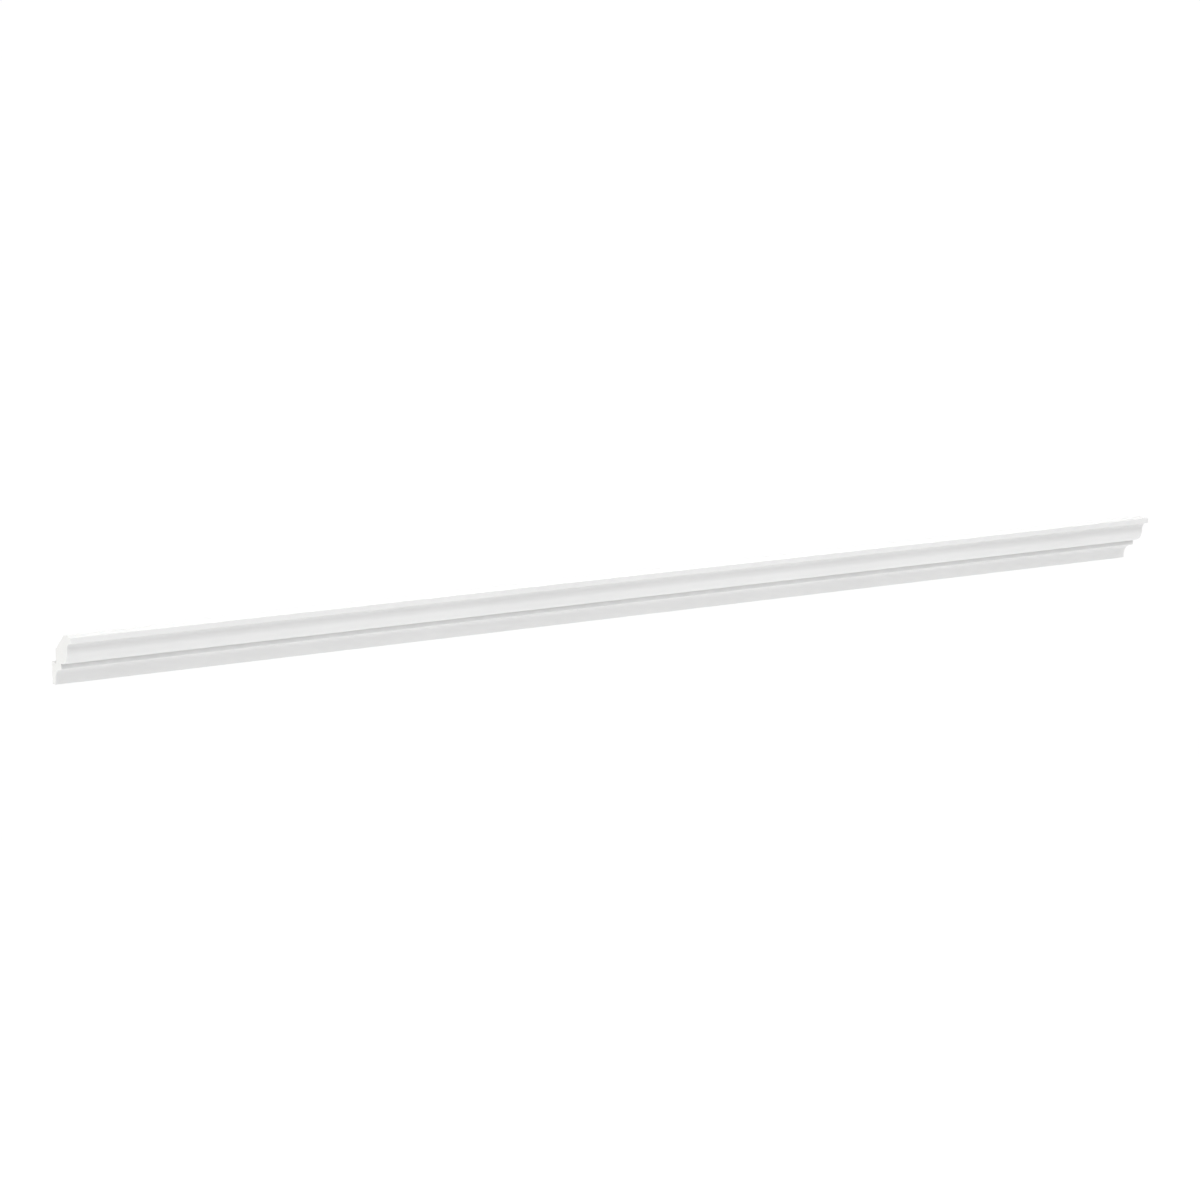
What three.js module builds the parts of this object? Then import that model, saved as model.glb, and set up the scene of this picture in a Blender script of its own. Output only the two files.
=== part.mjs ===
// A length of white crown moulding for the corner of a wall and a ceiling, cut square at both ends.
// Units are millimetres. +X runs along the length, +Y points into the wall and +Z points up to the ceiling.
// The origin is the middle of the flat that lies on the wall.
import * as THREE from "three";

// Overall sizes
const LENGTH = 2438.4;
const HEIGHT = 95.25;
const PROJECTION = 87.5;

// Front of the section: "out" is the distance from the wall, "rise" a height of one member
const FOOT_OUT = 14.2;
const FOOT_RISE = 6.4;
const LOWER_COVE_RADIUS = 24.7;
const FILLET_OUT = 42.1;
const FILLET_RISE = 11.6;
const FILLET_EDGE_RADIUS = 2.5;
const ROUND_RADIUS = 25;
const WAIST_OUT = 70;
const WAIST_RISE = 2.3;
const UPPER_COVE_RADIUS = 14.9;

// Back of the section: the flats on the wall and the ceiling, and the relief between them
const WALL_FLAT = 40.4;
const CEILING_FLAT = 31.5;
const RELIEF_OUT = 19;
const RELIEF_RISE = 24.8;

// Pairs of straight steps that each curve is drawn with
const CURVE_STEP_PAIRS = 20;

// Surface of the bare polymer
const WHITE = 0xf2f2f0;
const SATIN_ROUGHNESS = 0.55;

// Angles of the points where the curved members start and end, seen in the section
const RIGHT = 0;
const TOP = Math.PI / 2;
const LEFT = Math.PI;
const BOTTOM = -Math.PI / 2;

// Draws the front from the foot up to the lip: a hollow, a fillet, a round, a waist, a hollow and the lip.
function drawFront(section) {
  section.lineTo(FOOT_OUT, 0);
  section.lineTo(FOOT_OUT, FOOT_RISE);
  section.absarc(FOOT_OUT + LOWER_COVE_RADIUS, FOOT_RISE, LOWER_COVE_RADIUS, LEFT, TOP, true);

  const filletFoot = FOOT_RISE + LOWER_COVE_RADIUS;
  const filletHead = filletFoot + FILLET_RISE;
  const edgeOut = FILLET_OUT - FILLET_EDGE_RADIUS;
  section.lineTo(edgeOut, filletFoot);
  section.absarc(edgeOut, filletFoot + FILLET_EDGE_RADIUS, FILLET_EDGE_RADIUS, BOTTOM, RIGHT, false);
  section.lineTo(FILLET_OUT, filletHead);

  const roundOut = WAIST_OUT - ROUND_RADIUS;
  const tuck = Math.asin((roundOut - FILLET_OUT) / ROUND_RADIUS);
  const roundUp = filletHead + ROUND_RADIUS * Math.cos(tuck);
  section.absarc(roundOut, roundUp, ROUND_RADIUS, BOTTOM - tuck, RIGHT, false);

  const waistHead = roundUp + WAIST_RISE;
  section.lineTo(WAIST_OUT, waistHead);
  section.absarc(WAIST_OUT + UPPER_COVE_RADIUS, waistHead, UPPER_COVE_RADIUS, LEFT, TOP, true);

  section.lineTo(PROJECTION, waistHead + UPPER_COVE_RADIUS);
  section.lineTo(PROJECTION, HEIGHT);
}

// Draws the back from the lip down to the foot: the ceiling flat, the relief with its ledge, and the wall flat.
function drawBack(section) {
  section.lineTo(PROJECTION - CEILING_FLAT, HEIGHT);
  section.lineTo(RELIEF_OUT, WALL_FLAT + RELIEF_RISE);
  section.lineTo(RELIEF_OUT, WALL_FLAT);
  section.lineTo(0, WALL_FLAT);
  section.lineTo(0, 0);
}

// The whole section, in millimetres out from the wall and up from the lower edge.
function mouldingSection() {
  const section = new THREE.Shape();
  section.moveTo(0, 0);
  drawFront(section);
  drawBack(section);
  return section;
}

// The section run along the length, turned so that it stands against the wall.
function moulding() {
  const geometry = new THREE.ExtrudeGeometry(mouldingSection(), {
    depth: LENGTH,
    bevelEnabled: false,
    curveSegments: CURVE_STEP_PAIRS,
  });
  const material = new THREE.MeshStandardMaterial({
    color: WHITE,
    roughness: SATIN_ROUGHNESS,
    metalness: 0,
  });
  const mesh = new THREE.Mesh(geometry, material);
  mesh.name = "moulding";
  mesh.rotation.set(Math.PI / 2, 0, -Math.PI / 2, "ZYX");
  mesh.position.set(LENGTH / 2, 0, -WALL_FLAT / 2);
  return mesh;
}

const crownMoulding = new THREE.Group();
crownMoulding.add(moulding());

export default crownMoulding;
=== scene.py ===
import math

import bmesh
import bpy
from bpy.props import FloatProperty, FloatVectorProperty, IntProperty, PointerProperty
from mathutils import Matrix, Vector


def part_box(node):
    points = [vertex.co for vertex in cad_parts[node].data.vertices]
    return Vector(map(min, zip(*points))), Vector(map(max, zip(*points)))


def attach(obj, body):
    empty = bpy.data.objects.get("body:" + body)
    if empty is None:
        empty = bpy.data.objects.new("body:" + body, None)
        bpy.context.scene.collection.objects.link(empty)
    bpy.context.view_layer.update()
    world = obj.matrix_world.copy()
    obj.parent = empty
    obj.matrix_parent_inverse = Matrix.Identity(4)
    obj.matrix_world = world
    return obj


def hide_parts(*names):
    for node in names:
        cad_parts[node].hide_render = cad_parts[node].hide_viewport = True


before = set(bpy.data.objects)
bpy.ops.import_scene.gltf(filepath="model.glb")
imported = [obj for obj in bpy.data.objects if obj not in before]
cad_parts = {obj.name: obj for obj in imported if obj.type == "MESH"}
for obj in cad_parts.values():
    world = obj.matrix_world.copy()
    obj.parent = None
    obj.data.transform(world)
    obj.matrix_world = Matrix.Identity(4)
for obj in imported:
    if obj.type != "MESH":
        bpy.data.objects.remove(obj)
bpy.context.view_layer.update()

bl_info = {
    "name": "Crown Moulding Length",
    "version": (1, 0, 0),
    "blender": (4, 5, 0),
    "location": "3D View > Sidebar > Crown Moulding",
    "description": "Builds a white crown moulding length, its finish and the studio that it is shown in",
    "category": "Object",
}

NODE = "moulding"
BODY = "root"

# Corners of the solid: the length runs along x, the wall is at the high y, and z points up.
LOW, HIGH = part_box(NODE)
ALONG = Vector((1.0, 0.0, 0.0))
QUARTER_TURN = math.radians(90.0)

# Edges that bend by more than this stay sharp when the faces are shaded smooth.
SHARP_ANGLE = math.radians(32.0)

# Share of an edge, of an end face's normal and of a cut face's normal that has to lie along the length
LENGTHWISE_SHARE = 0.5
END_SHARE = 0.9
CUT_SHARE = 0.5

# A face that leans further than this towards the wall and the ceiling belongs to the back.
BACK_LEAN = 0.01

# Profile that makes an eased edge part of a circle
CIRCLE_PROFILE = 0.5

# Places of the finishes in the list of materials on the moulding
SKIN, BACK, CUT = range(3)

# Name of the value on the faces that marks the eased edges
ARRIS_MASK = "arris"

# Refractive index of the polymer
POLYMER_IOR = 1.46

# Most values of a noise texture lie between these two.
NOISE_LOW = 0.3
NOISE_HIGH = 0.7

# Foam cells in a metre, centre of the saw blade, and the wave scale that sets its marks 1.2 mm apart
CELLS_PER_METRE = 1300.0
SAW_CENTRE = Vector((0.0, -0.19, -0.16))
SAW_MARK_SCALE = 260.0

# Brightness of the room behind the moulding, a little past white so that it stays even
ROOM_WHITE = 1.01

# Roughness of the floor, which is nearly matt
FLOOR_ROUGHNESS = 0.9

# Width of the camera's sensor in millimetres, and how far the camera sees in metres
SENSOR_WIDTH = 36.0
VIEW_DEPTH = 200.0


# Properties

def distance(name, description, default):
    """A length in metres, shown in the units of the scene."""
    return FloatProperty(
        name=name,
        description=description,
        default=default,
        min=0.0,
        precision=5,
        subtype="DISTANCE",
        unit="LENGTH",
    )


def position(name, description, default):
    """A position on one axis, in metres on either side of the origin."""
    return FloatProperty(name=name, description=description, default=default, unit="LENGTH")


def count(name, description, default):
    """A whole number of steps."""
    return IntProperty(name=name, description=description, default=default, min=1)


def share(name, description, default):
    """A number from 0 to 1."""
    return FloatProperty(
        name=name, description=description, default=default, min=0.0, max=1.0, subtype="FACTOR"
    )


def turn(name, description, degrees):
    """An angle, shown in degrees."""
    return FloatProperty(
        name=name, description=description, default=math.radians(degrees), subtype="ANGLE", unit="ROTATION"
    )


def colour(name, description, default):
    """A linear colour."""
    return FloatVectorProperty(
        name=name, description=description, default=default, size=3, min=0.0, max=1.0, subtype="COLOR"
    )


def strength(name, description, default):
    """The strength of a light: 1 makes a white face that is square to it look white."""
    return FloatProperty(name=name, description=description, default=default, min=0.0, precision=3)


class CrownSizes(bpy.types.PropertyGroup):
    """Sizes of the section, out from the wall and up from the lower edge, and of the run"""

    length: distance("Length", "Cut length of the moulding", HIGH.x - LOW.x)
    height: distance("Height", "Height from the lower edge to the ceiling", HIGH.z - LOW.z)
    projection: distance("Projection", "Distance from the wall to the face of the lip", HIGH.y - LOW.y)
    foot_out: distance("Foot out", "Distance from the wall to the face of the foot", 0.0142)
    foot_rise: distance("Foot rise", "Height of the flat face of the foot", 0.0064)
    lower_cove_radius: distance("Lower cove radius", "Radius of the hollow above the foot", 0.0247)
    fillet_out: distance("Fillet out", "Distance from the wall to the fillet", 0.0421)
    fillet_rise: distance("Fillet rise", "Height of the fillet under the round", 0.0116)
    round_radius: distance("Round radius", "Radius of the round above the fillet", 0.025)
    waist_out: distance("Waist out", "Distance from the wall to the waist above the round", 0.07)
    waist_rise: distance("Waist rise", "Height of the flat face of the waist", 0.0023)
    upper_cove_radius: distance("Upper cove radius", "Radius of the hollow under the lip", 0.0149)
    wall_flat: distance("Wall flat", "Height of the flat that lies on the wall", 0.0404)
    ceiling_flat: distance("Ceiling flat", "Width of the flat that lies on the ceiling", 0.0315)
    relief_out: distance("Relief out", "Distance from the wall to the relief behind the round", 0.019)
    relief_rise: distance("Relief rise", "Height of the upright part of the relief", 0.0248)
    fillet_arris: distance("Fillet arris", "Radius of the eased lower edge of the fillet", 0.0025)
    front_arris: distance("Front arris", "Radius of the other eased edges at the front", 0.0005)
    back_arris: distance("Back arris", "Radius of the eased edges at the back", 0.0004)
    end_arris: distance("End arris", "Width of the worn edge round the sawn ends", 0.00025)
    curve_steps: count("Curve steps", "Straight steps in each hollow and round", 24)
    arris_steps: count("Arris steps", "Straight steps round each eased edge", 4)
    length_steps: count("Length steps", "Rows of faces along the length", 48)


class CrownFinish(bpy.types.PropertyGroup):
    """Colours and gloss of the moulding"""

    skin_colour: colour("Skin colour", "White of the moulded faces", (0.775, 0.775, 0.772))
    skin_roughness: share("Skin roughness", "Roughness of the moulded faces", 0.347)
    back_colour: colour("Back colour", "White of the faces towards the building", (0.765, 0.765, 0.755))
    back_roughness: share("Back roughness", "Roughness of the faces towards the building", 0.62)
    cut_colour: colour("Cut colour", "White of the foam in the sawn ends", (0.775, 0.775, 0.76))
    cut_roughness: share("Cut roughness", "Roughness of the sawn ends", 0.8)


class CrownStudio(bpy.types.PropertyGroup):
    """Camera, floor and light"""

    camera_x: position("Camera X", "Camera along the length", -3.2518)
    camera_y: position("Camera Y", "Camera out from the wall", -5.0817)
    camera_z: position("Camera Z", "Camera up from the wall flat", 1.149)
    camera_turn: turn("Camera turn", "Turn of the view to the right of square on", 31.86)
    camera_dip: turn("Camera dip", "Dip of the view below level", 10.726)
    camera_lens: FloatProperty(
        name="Lens", description="Focal length in millimetres", default=94.69, unit="CAMERA", precision=3
    )
    floor_drop: distance("Floor drop", "Depth of the floor below the lower edge", 1.4)
    floor_reach: distance("Floor reach", "Half the width of the floor", 4.0)
    floor_colour: colour("Floor colour", "Pale plain floor", (0.75, 0.75, 0.75))
    floor_glow: strength("Floor glow", "Light that the floor gives off", 0.658)
    front_strength: strength("Front light", "Strength of the light above the front", 0.773)
    front_round: turn("Front light round", "Angle of the front light round from the front", 7.7)
    front_up: turn("Front light up", "Angle of the front light up from level", 44.5)
    front_across: turn("Front light across", "Angle that the front light spans", 50.0)
    fill_strength: strength("Fill light", "Strength of the low light on the right", 0.2225)
    fill_round: turn("Fill light round", "Angle of the fill light round from the front", 48.8)
    fill_up: turn("Fill light up", "Angle of the fill light up from level", 14.85)
    fill_across: turn("Fill light across", "Angle that the fill light spans", 30.0)
    side_strength: strength("Side light", "Strength of the light at the left end", 0.792)
    side_round: turn("Side light round", "Angle of the side light round from the front", -96.0)
    side_up: turn("Side light up", "Angle of the side light up from level", 15.0)
    side_across: turn("Side light across", "Angle that the side light spans", 12.0)
    overhead_strength: strength("Overhead light", "Strength of the wide light above the moulding", 0.14)
    overhead_across: turn("Overhead light across", "Angle that the overhead light spans", 50.0)
    back_strength: strength("Back light", "Strength of the light behind the right end", 0.476)
    back_round: turn("Back light round", "Angle of the back light round from the front", 148.0)
    back_up: turn("Back light up", "Angle of the back light up from level", 14.5)
    back_across: turn("Back light across", "Angle that the back light spans", 20.0)


# Objects in the scene

def put_in_scene(name, data):
    """A new object in the scene with the given data."""
    thing = bpy.data.objects.new(name, data)
    bpy.context.scene.collection.objects.link(thing)
    return thing


def mesh_object(name, mesh):
    """A new object in the scene that takes over the mesh."""
    data = bpy.data.meshes.new(name)
    mesh.to_mesh(data)
    mesh.free()
    return put_in_scene(name, data)


# Shape of the moulding

class SectionPen:
    """Draws the section at one end as one outline, out from the wall and up from the lower edge."""

    def __init__(self, mesh, end, steps):
        self.mesh = mesh
        self.corner = Vector((end, HIGH.y, LOW.z))
        self.steps = steps
        self.start = bmesh.ops.create_vert(mesh, co=self.corner)["vert"][0]
        self.tip = self.start

    def place(self, out, up):
        return self.corner + Vector((0.0, -out, up))

    def line(self, out, up):
        """Draws a straight stretch to a place and returns the vertex there."""
        self.tip = bmesh.ops.extrude_vert_indiv(self.mesh, verts=[self.tip])["verts"][0]
        self.tip.co = self.place(out, up)
        return self.tip

    def arc(self, centre_out, centre_up, angle):
        """Draws a turn about a centre, clockwise where the angle is positive."""
        made = bmesh.ops.spin(
            self.mesh,
            geom=[self.tip],
            cent=self.place(centre_out, centre_up),
            axis=ALONG,
            angle=angle,
            steps=self.steps,
            use_duplicate=False,
        )
        self.tip = next(part for part in made["geom_last"] if isinstance(part, bmesh.types.BMVert))

    def close(self):
        """Joins the tip to the start and fills the outline with one face."""
        bmesh.ops.contextual_create(self.mesh, geom=[self.tip, self.start])
        bmesh.ops.contextual_create(self.mesh, geom=self.mesh.edges[:])


def draw_front(pen, sizes):
    """Draws the front from the foot to the lip and returns the fillet's corner and the other corners."""
    toe = pen.line(sizes.foot_out, 0.0)
    pen.line(sizes.foot_out, sizes.foot_rise)
    pen.arc(sizes.foot_out + sizes.lower_cove_radius, sizes.foot_rise, QUARTER_TURN)

    fillet_foot = sizes.foot_rise + sizes.lower_cove_radius
    fillet_head = fillet_foot + sizes.fillet_rise
    fillet_corner = pen.line(sizes.fillet_out, fillet_foot)
    pen.line(sizes.fillet_out, fillet_head)

    round_out = sizes.waist_out - sizes.round_radius
    tuck = math.asin((round_out - sizes.fillet_out) / sizes.round_radius)
    round_up = fillet_head + sizes.round_radius * math.cos(tuck)
    pen.arc(round_out, round_up, -tuck - QUARTER_TURN)

    waist_head = round_up + sizes.waist_rise
    pen.line(sizes.waist_out, waist_head)
    pen.arc(sizes.waist_out + sizes.upper_cove_radius, waist_head, QUARTER_TURN)

    lip_foot = pen.line(sizes.projection, waist_head + sizes.upper_cove_radius)
    lip_head = pen.line(sizes.projection, sizes.height)
    return [fillet_corner], [toe, lip_foot, lip_head]


def draw_back(pen, sizes):
    """Draws the back from the ceiling flat down to the wall flat and returns its outer corners."""
    ceiling_heel = pen.line(sizes.projection - sizes.ceiling_flat, sizes.height)
    shoulder = pen.line(sizes.relief_out, sizes.wall_flat + sizes.relief_rise)
    pen.line(sizes.relief_out, sizes.wall_flat)
    wall_head = pen.line(0.0, sizes.wall_flat)
    return [ceiling_heel, shoulder, wall_head, pen.start]


def runs_lengthwise(edge):
    step = edge.verts[1].co - edge.verts[0].co
    return abs(step.x) > LENGTHWISE_SHARE * step.length


def lengthwise_edges(verts):
    """The edges that run along the length from the given vertices, each one once."""
    edges = dict.fromkeys(edge for vert in verts for edge in vert.link_edges)
    return [edge for edge in edges if runs_lengthwise(edge)]


def ease_edges(mesh, edges, radius, steps, mask):
    """Rounds the edges and marks the rounded faces in the mask."""
    made = bmesh.ops.bevel(
        mesh,
        geom=edges,
        offset=radius,
        segments=steps,
        profile=CIRCLE_PROFILE,
        affect="EDGES",
        material=-1,
    )
    for face in made["faces"]:
        face[mask] = 1.0


def end_faces(mesh):
    return [face for face in mesh.faces if abs(face.normal.x) > END_SHARE]


def finish_of(face):
    """The finish of a face: of the sawn ends, of the faces towards the building or of the front."""
    if abs(face.normal.x) > CUT_SHARE:
        return CUT
    return BACK if face.normal.y + face.normal.z > BACK_LEAN else SKIN


def moulding_mesh(sizes):
    """The run of the moulding with eased edges and sawn ends."""
    mesh = bmesh.new()
    mask = mesh.faces.layers.float.new(ARRIS_MASK)
    run = sizes.length - 2.0 * sizes.end_arris
    pen = SectionPen(mesh, LOW.x + sizes.end_arris, sizes.curve_steps)
    fillet_corners, front_corners = draw_front(pen, sizes)
    back_corners = draw_back(pen, sizes)
    pen.close()

    made = bmesh.ops.extrude_face_region(mesh, geom=mesh.faces[:])
    far_end = [part for part in made["geom"] if isinstance(part, bmesh.types.BMVert)]
    bmesh.ops.translate(mesh, verts=far_end, vec=ALONG * run)
    bmesh.ops.recalc_face_normals(mesh, faces=mesh.faces[:])

    fillet_edges = lengthwise_edges(fillet_corners)
    front_edges = lengthwise_edges(front_corners)
    back_edges = lengthwise_edges(back_corners)
    ease_edges(mesh, fillet_edges, sizes.fillet_arris, sizes.arris_steps, mask)
    ease_edges(mesh, front_edges, sizes.front_arris, sizes.arris_steps, mask)
    ease_edges(mesh, back_edges, sizes.back_arris, sizes.arris_steps, mask)

    rim = bmesh.ops.inset_region(
        mesh,
        faces=end_faces(mesh),
        thickness=sizes.end_arris,
        depth=sizes.end_arris,
        use_even_offset=True,
    )
    for face in rim["faces"]:
        face[mask] = 1.0
    bmesh.ops.subdivide_edges(
        mesh, edges=lengthwise_edges(mesh.verts), cuts=sizes.length_steps - 1, use_grid_fill=True
    )

    mesh.normal_update()
    for face in mesh.faces:
        face.smooth = True
        face.material_index = finish_of(face)
    for edge in mesh.edges:
        edge.smooth = edge.calc_face_angle(0.0) < SHARP_ANGLE
    return mesh


# Finish of the moulding

def add_node(tree, kind, values=None, **settings):
    """Adds a node with its own settings and with values for its input sockets."""
    node = tree.nodes.new(kind)
    for name, value in settings.items():
        setattr(node, name, value)
    for name, value in (values or {}).items():
        node.inputs[name].default_value = value
    return node


def new_group(name, inputs, outputs):
    """An empty node group with named sockets, and its input and output nodes."""
    group = bpy.data.node_groups.new(name, "ShaderNodeTree")
    for label, kind in inputs:
        group.interface.new_socket(label, in_out="INPUT", socket_type=kind)
    for label in outputs:
        group.interface.new_socket(label, in_out="OUTPUT", socket_type="NodeSocketFloat")
    return group, add_node(group, "NodeGroupInput"), add_node(group, "NodeGroupOutput")


def fine_grain_group():
    """Grain of white polymer as a height for the bump, and its faint cloudiness as a patch value."""
    inputs = [
        ("Vector", "NodeSocketVector"),
        ("Grains per metre", "NodeSocketFloat"),
        ("Patches per metre", "NodeSocketFloat"),
    ]
    group, given, result = new_group("Fine grain", inputs, ["Height", "Patch"])
    grain = add_node(group, "ShaderNodeTexNoise", {"Detail": 3.0, "Roughness": 0.55})
    patch = add_node(group, "ShaderNodeTexNoise", {"Detail": 2.0, "Roughness": 0.5})
    group.links.new(given.outputs["Vector"], grain.inputs["Vector"])
    group.links.new(given.outputs["Vector"], patch.inputs["Vector"])
    group.links.new(given.outputs["Grains per metre"], grain.inputs["Scale"])
    group.links.new(given.outputs["Patches per metre"], patch.inputs["Scale"])
    group.links.new(grain.outputs["Fac"], result.inputs["Height"])
    group.links.new(patch.outputs["Fac"], result.inputs["Patch"])
    return group


def arris_wear_and_highlight_group():
    """Mask of the eased edges, broken up as handling leaves them: the finishes make these edges glossier as
    rubbing wear and lighter as a painted highlight.
    """
    group, given, result = new_group("Rubbed arris", [("Vector", "NodeSocketVector")], ["Rub"])
    edges = add_node(group, "ShaderNodeAttribute", attribute_name=ARRIS_MASK)
    breaks = add_node(group, "ShaderNodeTexNoise", {"Scale": 70.0, "Detail": 3.0})
    wear_and_highlight = add_node(group, "ShaderNodeMath", operation="MULTIPLY")
    group.links.new(given.outputs["Vector"], breaks.inputs["Vector"])
    group.links.new(edges.outputs["Fac"], wear_and_highlight.inputs[0])
    group.links.new(breaks.outputs["Fac"], wear_and_highlight.inputs[1])
    group.links.new(wear_and_highlight.outputs["Value"], result.inputs["Rub"])
    return group


class FinishBuilder:
    """Builds one white finish: grain and patches in its colour, gloss and bump, and eased edges that are
    glossier from rubbing wear and lightened by a painted highlight.
    """

    def __init__(self, name, base, grain_group, wear_and_highlight_group):
        self.material = bpy.data.materials.new(name)
        self.material.use_nodes = True
        self.tree = self.material.node_tree
        self.tree.nodes.clear()
        self.base = base
        output = add_node(self.tree, "ShaderNodeOutputMaterial")
        self.shader = add_node(self.tree, "ShaderNodeBsdfPrincipled", {"IOR": POLYMER_IOR})
        self.place = add_node(self.tree, "ShaderNodeTexCoord").outputs["Object"]
        self.grain = add_node(self.tree, "ShaderNodeGroup", node_tree=grain_group)
        wear_and_highlight = add_node(self.tree, "ShaderNodeGroup", node_tree=wear_and_highlight_group)
        self.height = self.grain.outputs["Height"]
        self.patch = self.grain.outputs["Patch"]
        self.edge_wear_and_highlight = wear_and_highlight.outputs["Rub"]
        self.link(self.place, self.grain.inputs["Vector"])
        self.link(self.place, wear_and_highlight.inputs["Vector"])
        self.link(self.shader.outputs["BSDF"], output.inputs["Surface"])

    def link(self, source, target):
        self.tree.links.new(source, target)

    def grain_sizes(self, grains_per_metre, patches_per_metre):
        self.grain.inputs["Grains per metre"].default_value = grains_per_metre
        self.grain.inputs["Patches per metre"].default_value = patches_per_metre

    def spread(self, source, low, high, start=NOISE_LOW, stop=NOISE_HIGH):
        """Spreads a texture value between two values."""
        limits = {"From Min": start, "From Max": stop, "To Min": low, "To Max": high}
        node = add_node(self.tree, "ShaderNodeMapRange", limits)
        self.link(source, node.inputs["Value"])
        return node.outputs["Result"]

    def spread_about(self, source, middle, reach):
        """Spreads a noise value to either side of a middle value."""
        return self.spread(source, middle - reach, middle + reach)

    def plus(self, first, second, amount):
        """The first value plus the second one times an amount."""
        node = add_node(self.tree, "ShaderNodeMath", operation="MULTIPLY_ADD")
        node.inputs[1].default_value = amount
        self.link(second, node.inputs[0])
        self.link(first, node.inputs[2])
        return node.outputs["Value"]

    def stretched_noise(self, along, across, detail):
        """Noise with its own scale along the length and across it."""
        mapping = add_node(self.tree, "ShaderNodeMapping", {"Scale": (along, across, across)})
        noise = add_node(self.tree, "ShaderNodeTexNoise", {"Scale": 1.0, "Detail": detail})
        self.link(self.place, mapping.inputs["Vector"])
        self.link(mapping.outputs["Vector"], noise.inputs["Vector"])
        return noise.outputs["Fac"]

    def colour(self, brightness):
        """Base colour brightened and darkened by a value near 1."""
        node = add_node(self.tree, "ShaderNodeHueSaturation", {"Color": (*self.base, 1.0)})
        self.link(brightness, node.inputs["Value"])
        self.link(node.outputs["Color"], self.shader.inputs["Base Color"])

    def roughness(self, value):
        self.link(value, self.shader.inputs["Roughness"])

    def bump(self, height, depth, strength):
        node = add_node(self.tree, "ShaderNodeBump", {"Strength": strength, "Distance": depth})
        self.link(height, node.inputs["Height"])
        self.link(node.outputs["Normal"], self.shader.inputs["Normal"])


def skin_finish(finish, grain_group, wear_and_highlight_group):
    """Satin skin of the moulded faces, with faint streaks drawn along the length."""
    skin = FinishBuilder("Satin skin", finish.skin_colour, grain_group, wear_and_highlight_group)
    skin.grain_sizes(grains_per_metre=850.0, patches_per_metre=5.0)
    streak = skin.stretched_noise(along=1.4, across=260.0, detail=2.0)
    tone = skin.spread(skin.patch, low=0.985, high=1.015)
    # Painted highlight: the eased edges are lightened by up to 3 percent.
    skin.colour(skin.plus(tone, skin.edge_wear_and_highlight, amount=0.03))
    gloss = skin.spread_about(streak, finish.skin_roughness, reach=0.05)
    skin.roughness(skin.plus(gloss, skin.edge_wear_and_highlight, amount=-0.12))
    relief = skin.plus(skin.height, streak, amount=0.6)
    skin.bump(relief, depth=0.0001, strength=0.45)
    return skin.material


def back_finish(finish, grain_group, wear_and_highlight_group):
    """Plainer, duller faces towards the wall and the ceiling, with faint planer marks across the length."""
    back = FinishBuilder("Planed back", finish.back_colour, grain_group, wear_and_highlight_group)
    back.grain_sizes(grains_per_metre=600.0, patches_per_metre=4.0)
    planer = back.stretched_noise(along=190.0, across=3.0, detail=1.0)
    tone = back.spread(back.patch, low=0.97, high=1.02)
    # Painted highlight: the eased edges are lightened by up to 3 percent.
    back.colour(back.plus(tone, back.edge_wear_and_highlight, amount=0.03))
    gloss = back.spread_about(planer, finish.back_roughness, reach=0.06)
    back.roughness(back.plus(gloss, back.edge_wear_and_highlight, amount=-0.08))
    relief = back.plus(back.height, planer, amount=0.9)
    back.bump(relief, depth=0.00025, strength=0.5)
    return back.material


def cut_finish(finish, grain_group, wear_and_highlight_group):
    """Sawn foam of the ends: fine closed cells and the curved marks of a saw blade."""
    cut = FinishBuilder("Sawn foam", finish.cut_colour, grain_group, wear_and_highlight_group)
    cut.grain_sizes(grains_per_metre=1500.0, patches_per_metre=30.0)
    cells = add_node(cut.tree, "ShaderNodeTexVoronoi", {"Scale": CELLS_PER_METRE})
    cut.link(cut.place, cells.inputs["Vector"])
    blade = add_node(cut.tree, "ShaderNodeMapping", {"Location": -SAW_CENTRE})
    marks = add_node(
        cut.tree,
        "ShaderNodeTexWave",
        {"Scale": SAW_MARK_SCALE, "Distortion": 1.5, "Detail": 2.0},
        wave_type="RINGS",
        rings_direction="X",
    )
    cut.link(cut.place, blade.inputs["Vector"])
    cut.link(blade.outputs["Vector"], marks.inputs["Vector"])

    cell_tone = cut.spread(cells.outputs["Distance"], low=0.93, high=1.02, start=0.0, stop=0.6)
    tone = cut.plus(cell_tone, marks.outputs["Fac"], amount=0.03)
    # Painted highlight: the rim round the sawn end is lightened by up to 2 percent.
    cut.colour(cut.plus(tone, cut.edge_wear_and_highlight, amount=0.02))
    cut.roughness(cut.spread_about(cut.patch, finish.cut_roughness, reach=0.08))
    relief = cut.plus(cells.outputs["Distance"], marks.outputs["Fac"], amount=0.6)
    relief = cut.plus(relief, cut.height, amount=0.4)
    cut.bump(relief, depth=0.0002, strength=0.6)
    return cut.material


# Studio

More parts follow.
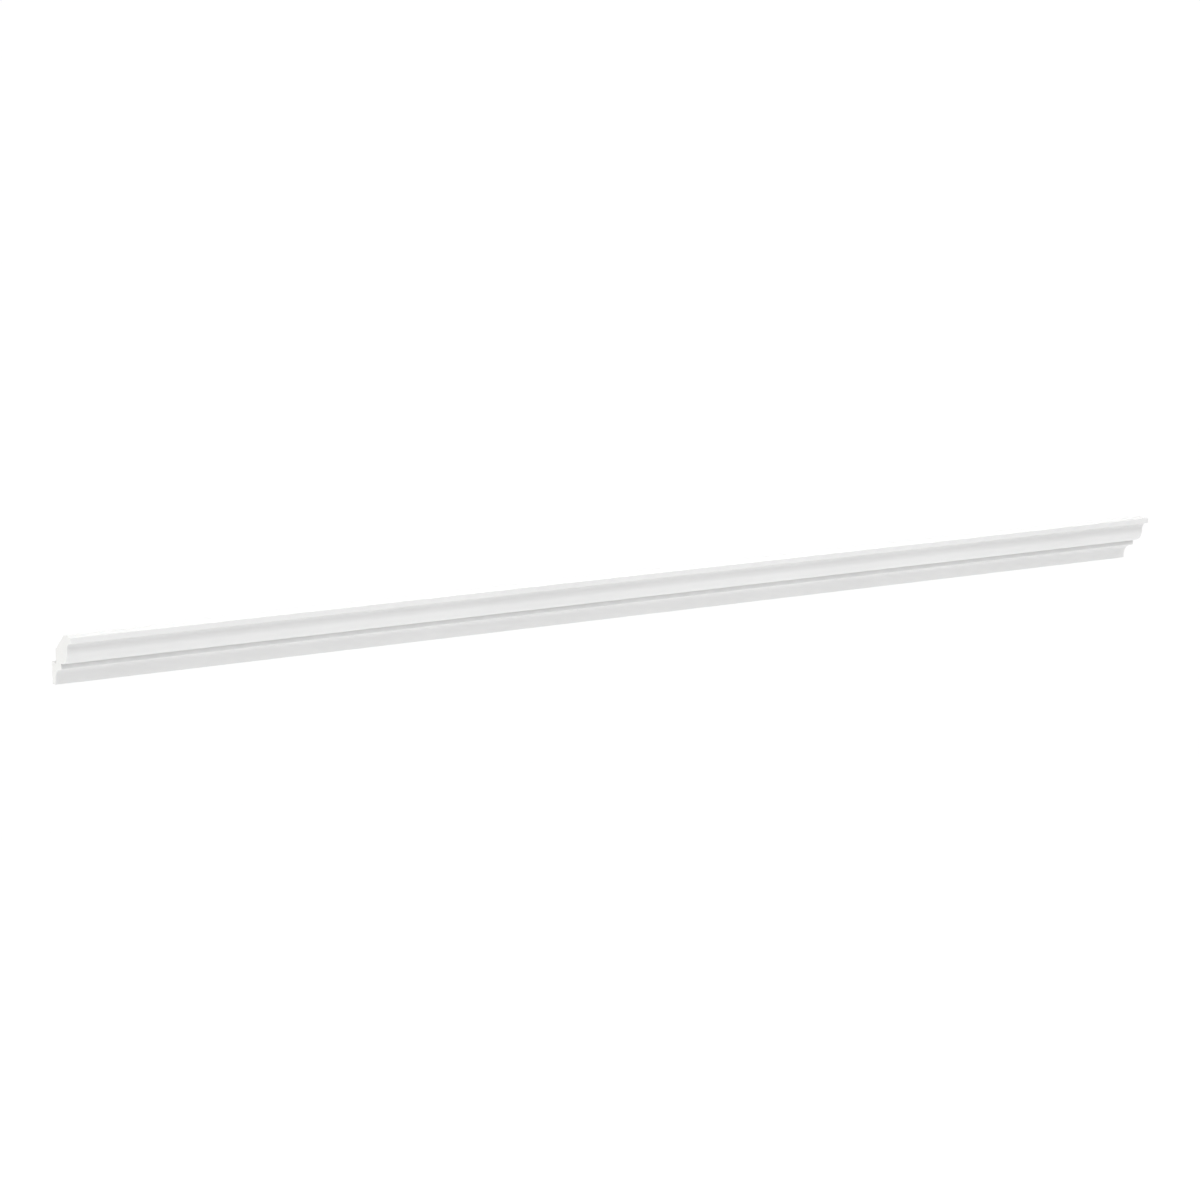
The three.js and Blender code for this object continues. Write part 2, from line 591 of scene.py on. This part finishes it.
def floor_finish(studio):
    """Pale glowing top, with an underside that is clear, so that the moulding shows from below too."""
    material = bpy.data.materials.new("Pale floor")
    material.use_nodes = True
    tree = material.node_tree
    tree.nodes.clear()
    pale = (*studio.floor_colour, 1.0)
    look = {
        "Base Color": pale,
        "Roughness": FLOOR_ROUGHNESS,
        "Emission Color": pale,
        "Emission Strength": studio.floor_glow,
    }
    output = add_node(tree, "ShaderNodeOutputMaterial")
    top = add_node(tree, "ShaderNodeBsdfPrincipled", look)
    clear = add_node(tree, "ShaderNodeBsdfTransparent")
    faces = add_node(tree, "ShaderNodeNewGeometry")
    sides = add_node(tree, "ShaderNodeMixShader")
    tree.links.new(faces.outputs["Backfacing"], sides.inputs["Fac"])
    tree.links.new(top.outputs["BSDF"], sides.inputs[1])
    tree.links.new(clear.outputs["BSDF"], sides.inputs[2])
    tree.links.new(sides.outputs["Shader"], output.inputs["Surface"])
    return material


def add_floor(studio):
    """Plain pale floor well below the moulding."""
    mesh = bmesh.new()
    middle = Vector((0.0, 0.0, LOW.z - studio.floor_drop))
    bmesh.ops.create_grid(
        mesh, x_segments=1, y_segments=1, size=studio.floor_reach, matrix=Matrix.Translation(middle)
    )
    floor = mesh_object("Floor", mesh)
    floor.data.materials.append(floor_finish(studio))


def add_soft_light(name, round_from_front, up, across, amount):
    """Even soft light from far away, turned round from the front and up from level, that spans an angle."""
    data = bpy.data.lights.new(name, "SUN")
    # A white face that is square to a sun of this energy looks as bright as the amount.
    data.energy = math.pi * amount
    data.angle = across
    light = put_in_scene(name, data)
    light.rotation_euler = (QUARTER_TURN - up, 0.0, round_from_front)


def add_white_room():
    """White all round for the camera, with no light of its own."""
    world = bpy.data.worlds.new("White room")
    world.use_nodes = True
    tree = world.node_tree
    background = tree.nodes["Background"]
    background.inputs["Color"].default_value = (ROOM_WHITE, ROOM_WHITE, ROOM_WHITE, 1.0)
    seen = add_node(tree, "ShaderNodeLightPath")
    tree.links.new(seen.outputs["Is Camera Ray"], background.inputs["Strength"])
    bpy.context.scene.world = world


def add_camera(studio):
    """Camera at the viewing angle, a little above the moulding and to its left."""
    data = bpy.data.cameras.new("Camera")
    data.sensor_width = SENSOR_WIDTH
    data.lens = studio.camera_lens
    data.clip_end = VIEW_DEPTH
    camera = put_in_scene("Camera", data)
    camera.location = (studio.camera_x, studio.camera_y, studio.camera_z)
    camera.rotation_euler = (QUARTER_TURN - studio.camera_dip, 0.0, -studio.camera_turn)
    bpy.context.scene.camera = camera


# Operators, panel and registration

class CROWN_OT_build_moulding(bpy.types.Operator):
    """Builds the moulding with its finish and sets it in place of the solid"""

    bl_idname = "crown.build_moulding"
    bl_label = "Build Moulding"

    def execute(self, context):
        finish = context.scene.crown_finish
        piece = mesh_object("moulding_run", moulding_mesh(context.scene.crown_sizes))
        grain_group = fine_grain_group()
        wear_and_highlight_group = arris_wear_and_highlight_group()
        for make in (skin_finish, back_finish, cut_finish):
            piece.data.materials.append(make(finish, grain_group, wear_and_highlight_group))
        shading = piece.modifiers.new("Even shading", "WEIGHTED_NORMAL")
        shading.keep_sharp = True
        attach(piece, BODY)
        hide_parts(NODE)
        return {"FINISHED"}


class CROWN_OT_build_stage(bpy.types.Operator):
    """Builds the floor, the soft light and the camera"""

    bl_idname = "crown.build_stage"
    bl_label = "Build Stage"

    def execute(self, context):
        studio = context.scene.crown_studio
        add_camera(studio)
        add_floor(studio)
        add_white_room()
        for side in ("front", "fill", "side", "back"):
            add_soft_light(
                f"{side.title()} light",
                getattr(studio, f"{side}_round"),
                getattr(studio, f"{side}_up"),
                getattr(studio, f"{side}_across"),
                getattr(studio, f"{side}_strength"),
            )
        add_soft_light(
            "Overhead light",
            round_from_front=0.0,
            up=QUARTER_TURN,
            across=studio.overhead_across,
            amount=studio.overhead_strength,
        )
        context.scene.view_settings.view_transform = "Standard"
        return {"FINISHED"}


class CROWN_PT_sidebar(bpy.types.Panel):
    """Crown moulding tools"""

    bl_idname = "CROWN_PT_sidebar"
    bl_label = "Crown Moulding"
    bl_space_type = "VIEW_3D"
    bl_region_type = "UI"
    bl_category = "Crown Moulding"

    def draw(self, context):
        for operator in (CROWN_OT_build_moulding, CROWN_OT_build_stage):
            self.layout.operator(operator.bl_idname)
        for group in (context.scene.crown_sizes, context.scene.crown_finish, context.scene.crown_studio):
            box = self.layout.box()
            for name in group.__annotations__:
                box.prop(group, name)


CLASSES = (
    CrownSizes,
    CrownFinish,
    CrownStudio,
    CROWN_OT_build_moulding,
    CROWN_OT_build_stage,
    CROWN_PT_sidebar,
)


def register():
    for item in CLASSES:
        bpy.utils.register_class(item)
    bpy.types.Scene.crown_sizes = PointerProperty(type=CrownSizes)
    bpy.types.Scene.crown_finish = PointerProperty(type=CrownFinish)
    bpy.types.Scene.crown_studio = PointerProperty(type=CrownStudio)


def unregister():
    del bpy.types.Scene.crown_studio
    del bpy.types.Scene.crown_finish
    del bpy.types.Scene.crown_sizes
    for item in reversed(CLASSES):
        bpy.utils.unregister_class(item)


def main():
    register()
    bpy.ops.crown.build_moulding()
    bpy.ops.crown.build_stage()


if __name__ == "__main__":
    main()
